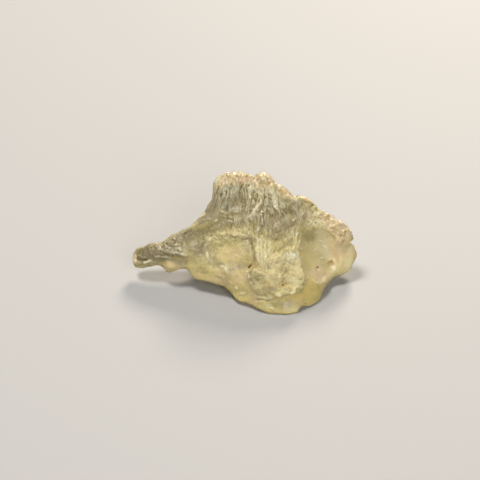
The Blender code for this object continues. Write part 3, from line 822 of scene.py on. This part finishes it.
def read_ground(place, towards):
    """What kind of ground each place is on. towards is how squarely it faces the front."""
    across, up = place[:, 0], place[:, 1]
    front = ramp(towards, *FACING_FRONT)
    behind = ramp(towards, *FACING_BACK)
    rough = mask(across, up, ROUGH) * (1.0 - mask(across, up, SMOOTH))
    facing = np.maximum(front, ramp(up, *CREST_TOP))
    rough = rough * facing + SIDE_ROUGHNESS * (1.0 - facing)
    rough = rough + (BACK_ROUGHNESS - rough) * behind
    sheet = ramp(up, *SHEET_FOOT) * ramp(across, *SHEET_LEFT) * ramp(across, *SHEET_RIGHT)
    return SimpleNamespace(
        across=across,
        up=up,
        front=front,
        behind=behind,
        rough=rough,
        folded=1.0 - mask(across, up, CALM),
        sheet=np.maximum(sheet, oval(across, up, FLUTES)),
        frost=mask(across, up, FROST_AND_SHEEN),
    )


def cover_relief(place, ground, settings):
    """How far the folds, cracks, streaks, waves and dimples that cover the stone rise, in mm."""
    seed = settings.seed
    along = flow(wandered(place, size=1.8, reach=0.6, seed=seed), ground.sheet)
    crumple = folds(along, COARSE_FOLD, seed + 4) + 0.9 * folds(along, FINE_FOLD, seed + 5) - 1.1
    craggy = 1.0 + 0.8 * ground.frost * (1.0 - ground.behind)
    net = cracks(along, NET_CELL, NET_CRACK, seed + 6)
    apart = wandered(place, size=2.2, reach=1.3, seed=seed + 7)
    scars = cracks(apart, SCAR_CELL, SCAR_CRACK, seed + 8) * (1.0 - ground.sheet)
    wrinkles = ground.rough * (ground.folded * craggy * crumple - 0.6 * net - 0.8 * scars)

    streaks = folds(flow(place, ground.sheet), STREAK, seed + 10)
    streaks *= ground.sheet * ground.front * ground.folded
    waves = clouds(place, LONG_WAVE, seed + 12) + 0.5 * clouds(place, SHORT_WAVE, seed + 17)
    apart = wandered(place, size=3.0, reach=1.5, seed=seed + 20)
    rims = ground.behind * cracks(apart, DIMPLE, DIMPLE_RIM, seed + 22)
    rise = settings.wrinkle * wrinkles + settings.streak * streaks + settings.wave * waves
    return rise / MM + RIM_RISE * rims


def line_relief(place, drawn, ground, seed):
    """How far the lines rise, in mm, and how much painted light their ridges and painted shade their
    grooves get.
    """
    rise, pale, dark = np.zeros((3, len(place)))
    uneven = 0.8 + 0.5 * clouds(place, 1.5, seed + 15)
    for points, half_width, height in LINES.values():
        far = line_distance(drawn[:, 0], drawn[:, 1], points)
        near = uneven * ground.front * (1.0 - ramp(far, 0.0, half_width * LINE_REACH))
        rise += height * near
        strength = np.clip(LINE_TONE * abs(height) * near, 0.0, 1.0)
        if height > 0.0:
            pale = np.maximum(pale, strength)
        else:
            dark = np.maximum(dark, strength)
    return rise, pale, dark


def fine_relief(place, ground, settings):
    """How far each place stands out of the softened solid, in mm, and the masks that come of it."""
    across, up, front = ground.across, ground.up, ground.front
    seed = settings.seed
    drawn = wandered(place, size=1.2, reach=0.3, seed=seed + 13)
    rise, pale, dark = line_relief(place, drawn, ground, seed)
    rise += cover_relief(place, ground, settings)
    for crumb in CRUMBS:
        rise += crumb.strength * front * oval(drawn[:, 0], drawn[:, 1], crumb)
    for pit in PITS:
        rise -= pit.strength * front * oval(across, up, pit)
    rise -= BITE.strength * oval(across, up, BITE)
    scallop = ramp(rim_distance(across, up, SCALLOP), *SCALLOP_EDGE) * front
    scallop *= 1.0 - 0.85 * ramp(across - SCALLOP_SLANT * up, *SCALLOP_END)
    rise -= SCALLOP.strength * scallop

    # How strong the fine lines are that the material draws, with their painted light and shade:
    # weaker in quiet patches.
    quiet = ramp(clouds(place, 3.2, seed + 19), 0.0, 0.45) * ramp(up, *QUIET_TOP)
    quiet *= 1.0 - ground.frost
    lively = ground.rough * (0.2 + 0.8 * ground.folded) * (1.0 - 0.65 * quiet)
    crumbs = [crumb._replace(strength=1.0) for crumb in CRUMBS]
    return rise, {
        "lively": lively,
        "scallop": scallop,
        "pale lines": np.maximum(pale, 0.8 * front * mask(drawn[:, 0], drawn[:, 1], crumbs)),
        "dark lines": dark,
    }


def even_copy(grain):
    """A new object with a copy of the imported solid, rebuilt in small even faces."""
    shape = bmesh.new()
    shape.from_mesh(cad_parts[NODE].data)
    bmesh.ops.remove_doubles(shape, verts=shape.verts, dist=WELD)
    mesh = bpy.data.meshes.new("desert glass")
    shape.to_mesh(mesh)
    shape.free()
    stone = bpy.data.objects.new("glass_stone", mesh)
    bpy.context.collection.objects.link(stone)
    even = stone.modifiers.new("even faces", "REMESH")
    even.mode = "VOXEL"
    even.voxel_size = grain
    even.adaptivity = 0.0
    bpy.context.view_layer.update()
    graph = bpy.context.evaluated_depsgraph_get()
    stone.data = bpy.data.meshes.new_from_object(stone.evaluated_get(graph))
    stone.modifiers.clear()
    return stone


def soften(mesh):
    """Smooths the facets of the solid away."""
    shape = bmesh.new()
    shape.from_mesh(mesh)
    for _ in range(SMOOTHING_ROUNDS):
        bmesh.ops.smooth_vert(
            shape, verts=shape.verts, factor=0.5, use_axis_x=True, use_axis_y=True, use_axis_z=True
        )
    shape.to_mesh(mesh)
    shape.free()


def numbers(collection, name):
    """One attribute of every item of a mesh, as an array with three columns."""
    values = np.empty(len(collection) * 3)
    collection.foreach_get(name, values)
    return values.reshape(-1, 3)


def carve_stone(mesh, settings):
    """Moves the vertices along their normals, and keeps the masks of the material on the mesh."""
    start = numbers(mesh.vertices, "co") / MM
    normals = numbers(mesh.vertex_normals, "vector")
    place = face_frame(start)
    towards = math.sin(LEAN) * normals[:, 2] - math.cos(LEAN) * normals[:, 1]
    ground = read_ground(place, towards)
    rise, masks = fine_relief(place, ground, settings)
    rise = rise * ramp(start[:, 2], *RELIEF_START)

    moved = start + normals * rise[:, None]
    resting = start[:, 2] < REST_HEIGHT
    moved[:, 2] = np.where(resting, start[:, 2], np.maximum(moved[:, 2], LOWEST))
    moved[:, 2] -= moved[:, 2].min()
    mesh.vertices.foreach_set("co", (moved * MM).ravel())

    across, up, front = ground.across, ground.up, ground.front
    masks.update(
        relief=np.clip(0.5 + rise, 0.0, 1.0),
        rough=ground.rough,
        ridged=mask(across, up, RIDGED),
        veil=mask(across, up, VEIL),
        honey=mask(across, up, HONEY),
        moss=mask(across, up, MOSS),
        beige=mask(across, up, BEIGE),
        milk=mask(across, up, MILK) * (0.4 + 0.6 * front),
        frost=ground.frost * (1.0 - 0.6 * ground.behind),
        rubbed=mask(across, up, PAINTED_GLINTS) * front,
        clay=mask(across, up, CLAY) * front,
    )
    for name, values in masks.items():
        mesh.attributes.new(name, "FLOAT", "POINT").data.foreach_set("value", values)
    flowing = mesh.attributes.new("flow", "FLOAT_VECTOR", "POINT")
    flowing.data.foreach_set("vector", flow(place, ground.sheet).ravel())
    mesh.polygons.foreach_set("use_smooth", np.ones(len(mesh.polygons), dtype=bool))
    mesh.update()


def place_node(tree, kind, inputs, **settings):
    """Adds a node with its settings. Each input gets its value, or a link from another node."""
    made = tree.nodes.new(kind)
    for name, value in settings.items():
        setattr(made, name, value)
    for name, value in inputs.items():
        if isinstance(value, Value):
            value = value.socket
        if isinstance(value, bpy.types.NodeSocket):
            tree.links.new(value, made.inputs[name])
        else:
            made.inputs[name].default_value = value
    return made


class Value:
    """A number from a node, which differs over the surface. What is worked out of it is one too."""

    def __init__(self, tree, node, output):
        self.tree = tree
        self.socket = node.outputs[output]

    def calculate(self, operation, other=0.0):
        """The number that a Math node works out from this one and another."""
        inputs = {0: self, 1: other}
        made = place_node(self.tree, "ShaderNodeMath", inputs, operation=operation)
        return Value(self.tree, made, 0)

    def __add__(self, other):
        return self.calculate("ADD", other)

    def __sub__(self, other):
        return self.calculate("SUBTRACT", other)

    def __mul__(self, other):
        return self.calculate("MULTIPLY", other)

    def spread(self, low, high, to_low=0.0, to_high=1.0):
        """The number stretched from one range to another, and held inside it."""
        ends = {"From Min": low, "From Max": high, "To Min": to_low, "To Max": to_high}
        made = place_node(self.tree, "ShaderNodeMapRange", {"Value": self, **ends})
        return Value(self.tree, made, "Result")


def kept(tree, name):
    """The number that is kept on the mesh under this name."""
    return Value(tree, place_node(tree, "ShaderNodeAttribute", {}, attribute_name=name), "Fac")


def speckle(tree, where, size, detail=3.0, roughness=0.65):
    """Noise from 0 to 1 whose features are about this size, in the units of where."""
    inputs = {"Vector": where, "Scale": 1.0 / size, "Detail": detail, "Roughness": roughness}
    return Value(tree, place_node(tree, "ShaderNodeTexNoise", inputs), "Fac")


def crests(tree, where, size):
    """Sharp crests from 0 to 1 about this far apart, in the units of where."""
    away = (speckle(tree, where, size, 2.0, 0.55) - 0.5).calculate("ABSOLUTE")
    return away.spread(0.16, 0.0)


def waver(tree, where, scale, reach):
    """The coordinates shifted to and fro by noise, so that what is drawn on them wavers."""
    noisy = {"Vector": where, "Scale": scale, "Detail": 2.0}
    result = place_node(tree, "ShaderNodeTexNoise", noisy).outputs["Color"]
    for operation, other in (
        ("SUBTRACT", {1: (0.5, 0.5, 0.5)}),
        ("SCALE", {"Scale": reach}),
        ("ADD", {1: where}),
    ):
        inputs = {0: result, **other}
        result = place_node(tree, "ShaderNodeVectorMath", inputs, operation=operation).outputs[0]
    return result


def tint(tree, share, base, colour):
    """The base colour with this share of another over it."""
    inputs = {MIX_SHARE: share}
    for socket, value in ((MIX_BASE, base), (MIX_OVER, colour)):
        inputs[socket] = value if isinstance(value, bpy.types.NodeSocket) else (*value, 1.0)
    return place_node(tree, "ShaderNodeMix", inputs, data_type="RGBA").outputs[MIX_RESULT]


def glass_patterns(tree):
    """The patterns that the colour, the polish and the bumps of the glass share."""
    where = place_node(tree, "ShaderNodeTexCoord", {}).outputs["Object"]
    flowing = place_node(tree, "ShaderNodeAttribute", {}, attribute_name="flow").outputs["Vector"]
    wavering = waver(tree, flowing, scale=0.8, reach=2.2)
    inputs = {"Vector": wavering, "Scale": 0.75}
    borders = place_node(tree, "ShaderNodeTexVoronoi", inputs, feature="DISTANCE_TO_EDGE")
    lively = kept(tree, "lively")
    ridged = kept(tree, "ridged") * lively
    grooved = lively - ridged * 0.8
    return SimpleNamespace(
        mottle=speckle(tree, where, 3.0 * MM, 4.0, 0.6),
        stain=speckle(tree, where, 3.6 * MM, 2.0, 0.5),
        craggy=crests(tree, where, 1.3 * MM),
        grain=speckle(tree, where, 0.7 * MM),
        beads_of_light=speckle(tree, where, 0.6 * MM, 1.0, 0.5),
        fine=speckle(tree, flowing, 0.7, 3.0, 0.6),
        grit=speckle(tree, flowing, 0.45),
        rough=kept(tree, "rough"),
        ridged=ridged,
        crinkle=crests(tree, wavering, 1.2) * 0.5 + crests(tree, wavering, 0.7) * 0.5,
        veins=crests(tree, flowing, 0.8).spread(0.5, 0.9) * grooved,
        cracks=Value(tree, borders, "Distance").spread(0.08, 0.0) * grooved,
    )


def glass_colour(tree, glass, straw):
    """The colour of the glass: the plain one, with the layers laid over it one after another, painted
    light and shade among them.
    """
    ragged = (glass.mottle - 0.5) * 1.1 + (glass.fine - 0.5) * 0.7

    def share(name, low=0.2, high=0.9):
        """A kept mask with its edge broken up by the patterns."""
        return (kept(tree, name) + ragged).spread(low, high)

    thin = share("veil")
    frost = share("frost", 0.3, 0.7)
    # Painted light: a pale tint that lightens the scallop's hollow, which lies in shade.
    painted_scallop_light = kept(tree, "scallop") * glass.mottle.spread(0.3, 0.7, 0.95, 0.45)
    relief = kept(tree, "relief")
    clouded = glass.rough.spread(0.0, 1.0, 0.75, 1.0)
    clay = kept(tree, "clay")
    tones = {
        **TONES,
        "painted shade in the folds": tint(tree, frost, TONES["painted shade in the folds"], TONES["painted warm shade in the folds"]),
        "ridges": tint(tree, frost, TONES["ridges"], TONES["painted warm light on the folds"]),
    }
    colour = straw
    for tone, amount in (
        ("thin glass", thin),
        ("thick glass", share("honey")),
        ("rosy stain", glass.stain.spread(0.52, 0.70, 0.0, 0.5)),
        ("green stain", glass.stain.spread(0.46, 0.30, 0.0, 0.5)),
        ("milky glass", share("milk")),
        # Painted light in the scallop's shaded hollow.
        ("scallop", painted_scallop_light * kept(tree, "honey").spread(0.0, 0.8, 1.0, 0.4)),
        ("beige glass", share("beige", 0.1, 1.1)),
        ("olive glass", share("moss")),
        # Painted warm sheen: the peach that stands in for the warm light on the frosted top edges.
        ("painted warm sheen", frost),
        # Painted shade in the low relief and painted light on the high relief.
        ("painted shade in the hollows", relief.spread(0.45, 0.05, 0.0, 0.5)),
        ("painted light on the heights", relief.spread(0.55, 0.9, 0.0, 0.25)),
        ("dark clouds", glass.grain.spread(0.5, 0.75, 0.0, 0.45) * clouded),
        ("pale clouds", glass.grain.spread(0.5, 0.25, 0.0, 0.45) * clouded),
        ("thin glass", thin * 0.45),
        # The painted warm sheen again, over the clouds.
        ("frost", frost * 0.7),
        # Painted shade in thin furrows and painted glints between them, where the edges are frosted.
        ("painted furrow shade", glass.craggy.spread(0.72, 0.92) * frost * 0.7),
        ("painted warm glints", glass.craggy.spread(0.3, 0.0) * frost * 0.7),
        # Painted shade between the small folds, and painted light on their ridges.
        ("painted shade in the folds", glass.crinkle.spread(0.38, 0.16) * glass.ridged * 0.8),
        ("ridges", glass.crinkle.spread(0.46, 0.7) * glass.ridged * 0.8),
        ("veins", glass.veins * 0.55),
        ("cracks", glass.cracks * 0.5),
        # Painted glints: on the listed spots and on the tops of the small folds.
        ("painted glints", (kept(tree, "rubbed") + glass.crinkle * 0.8).spread(0.7, 1.2) * 0.85),
        # Painted shade in the grooves of the lines, in the colour of the cracks.
        ("cracks", kept(tree, "dark lines") * 0.5),
        # Painted light on the ridges of the lines and on the crumbs, broken into beads.
        ("beads_of_light", kept(tree, "pale lines") * glass.beads_of_light.spread(0.42, 0.6, 0.15, 0.85)),
        ("clay stain", clay.spread(0.02, 0.6, 0.0, 0.7)),
        ("clay", clay.spread(0.5, 0.85)),
    ):
        colour = tint(tree, amount, colour, tones[tone])
    return colour


def glass_polish(tree, glass):
    """How strong the clear coat is: more on the small ridges, and less on grey and olive glass."""
    matt = kept(tree, "moss").calculate("MAXIMUM", kept(tree, "veil"))
    return glass.crinkle.spread(0.35, 0.7) * glass.ridged * 0.8 + matt.spread(0.1, 0.9, 0.19, 0.05)


def glass_bumps(tree, glass):
    """Normals that carry the relief too fine for the mesh."""
    height = glass.grit * glass.rough.spread(0.0, 1.0, 0.3, 0.6) - glass.cracks * 0.4
    height = height + glass.crinkle * glass.ridged - glass.veins * 0.8
    inputs = {"Strength": 1.0, "Distance": BUMP_HEIGHT, "Height": height}
    return place_node(tree, "ShaderNodeBump", inputs).outputs["Normal"]


def glass_material(settings):
    """Milky natural glass whose colours follow the masks, frosted by the wind."""
    material = bpy.data.materials.new("raw desert glass")
    material.use_nodes = True
    tree = material.node_tree
    surface = tree.nodes["Principled BSDF"]
    for name, value in GLASS.items():
        surface.inputs[name].default_value = value

    glass = glass_patterns(tree)
    dull = glass.fine.spread(0.3, 0.7, 0.4, 0.54) - glass.rough * 0.08
    tree.links.new(glass_colour(tree, glass, settings.straw), surface.inputs["Base Color"])
    tree.links.new(dull.socket, surface.inputs["Roughness"])
    tree.links.new(glass_polish(tree, glass).socket, surface.inputs["Coat Weight"])
    tree.links.new(glass_bumps(tree, glass), surface.inputs["Normal"])

    inputs = {"Color": (*settings.depth_colour, 1.0), "Density": settings.depth_strength}
    depth = place_node(tree, "ShaderNodeVolumeAbsorption", inputs)
    tree.links.new(depth.outputs["Volume"], tree.nodes["Material Output"].inputs["Volume"])
    return material


class OBJECT_OT_desert_glass_stone(bpy.types.Operator):
    """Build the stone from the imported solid, with its relief and its glass"""

    bl_idname = "object.desert_glass_stone"
    bl_label = "Desert Glass Stone"

    def execute(self, context):
        settings = context.scene.desert_glass_stone
        stone = even_copy(settings.grain)
        soften(stone.data)
        carve_stone(stone.data, settings)
        stone.data.materials.clear()
        stone.data.materials.append(glass_material(settings))
        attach(stone, BODY)
        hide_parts(NODE)
        return {"FINISHED"}


def pale_floor(colour):
    """A square floor under the stone."""
    shape = bmesh.new()
    bmesh.ops.create_grid(shape, x_segments=1, y_segments=1, size=FLOOR_REACH)
    mesh = bpy.data.meshes.new("floor")
    shape.to_mesh(mesh)
    shape.free()
    paper = bpy.data.materials.new("pale floor")
    paper.use_nodes = True
    surface = paper.node_tree.nodes["Principled BSDF"]
    surface.inputs["Base Color"].default_value = (*colour, 1.0)
    surface.inputs["Roughness"].default_value = FLOOR_ROUGHNESS
    mesh.materials.append(paper)
    floor = bpy.data.objects.new("floor", mesh)
    bpy.context.collection.objects.link(floor)


def soft_light(name, power, place, size, colour):
    """A square light that shines on the stone."""
    light = bpy.data.lights.new(name, "AREA")
    light.shape = "SQUARE"
    light.size = size * MM
    light.energy = power
    light.color = colour
    lamp = bpy.data.objects.new(name, light)
    bpy.context.collection.objects.link(lamp)
    lamp.location = Vector(place) * MM
    sight = Vector(LAMP_AIM) - Vector(place)
    lamp.rotation_euler = sight.to_track_quat("-Z", "Y").to_euler()


def even_sky(strength):
    """A world that lights the stone evenly from all sides."""
    world = bpy.data.worlds.new("studio")
    world.use_nodes = True
    sky = world.node_tree.nodes["Background"]
    sky.inputs["Color"].default_value = SKY_COLOUR
    sky.inputs["Strength"].default_value = strength
    bpy.context.scene.world = world
    bpy.context.scene.view_settings.view_transform = "Standard"


def front_camera():
    """A camera in front of the stone, looking down on it by the lean of its face."""
    data = bpy.data.cameras.new("camera")
    data.lens = LENS
    data.sensor_width = FILM
    data.clip_start = 0.01
    data.clip_end = 10.0
    camera = bpy.data.objects.new("camera", data)
    bpy.context.collection.objects.link(camera)
    right = Vector((1.0, 0.0, 0.0))
    top = Vector((0.0, math.sin(LEAN), math.cos(LEAN)))
    inward = Vector((0.0, math.cos(LEAN), -math.sin(LEAN)))
    aim = Vector((0.0, *MIDDLE)) + SIGHT[0] * right + SIGHT[1] * top + SIGHT[2] * inward
    camera.location = (aim - CAMERA_DISTANCE * inward) * MM
    camera.rotation_euler = inward.to_track_quat("-Z", "Y").to_euler()
    bpy.context.scene.camera = camera


class OBJECT_OT_desert_glass_stage(bpy.types.Operator):
    """Lay the pale floor under the stone, and place the lights and the camera"""

    bl_idname = "object.desert_glass_stage"
    bl_label = "Floor, Lights and Camera"

    def execute(self, context):
        settings = context.scene.desert_glass_stage
        pale_floor(settings.floor_colour)
        for name, lamp in LAMPS.items():
            soft_light(f"{name} light", getattr(settings, f"{name}_power"), *lamp)
        even_sky(settings.sky)
        front_camera()
        return {"FINISHED"}


class VIEW3D_PT_desert_glass(bpy.types.Panel):
    """The stone and the stage, each with its settings"""

    bl_label = "Raw Desert Glass"
    bl_idname = "VIEW3D_PT_desert_glass"
    bl_space_type = "VIEW_3D"
    bl_region_type = "UI"
    bl_category = "Desert Glass"

    def draw(self, context):
        for operator, settings in (
            ("object.desert_glass_stone", context.scene.desert_glass_stone),
            ("object.desert_glass_stage", context.scene.desert_glass_stage),
        ):
            box = self.layout.box()
            box.operator(operator)
            for name in settings.__annotations__:
                box.prop(settings, name)


CLASSES = (
    StoneSettings,
    StageSettings,
    OBJECT_OT_desert_glass_stone,
    OBJECT_OT_desert_glass_stage,
    VIEW3D_PT_desert_glass,
)


def register():
    for each_class in CLASSES:
        bpy.utils.register_class(each_class)
    bpy.types.Scene.desert_glass_stone = PointerProperty(type=StoneSettings)
    bpy.types.Scene.desert_glass_stage = PointerProperty(type=StageSettings)


def unregister():
    del bpy.types.Scene.desert_glass_stage
    del bpy.types.Scene.desert_glass_stone
    for each_class in reversed(CLASSES):
        bpy.utils.unregister_class(each_class)


def main():
    """Builds the stone and the stage."""
    register()
    bpy.ops.object.desert_glass_stone()
    bpy.ops.object.desert_glass_stage()


if __name__ == "__main__":
    main()
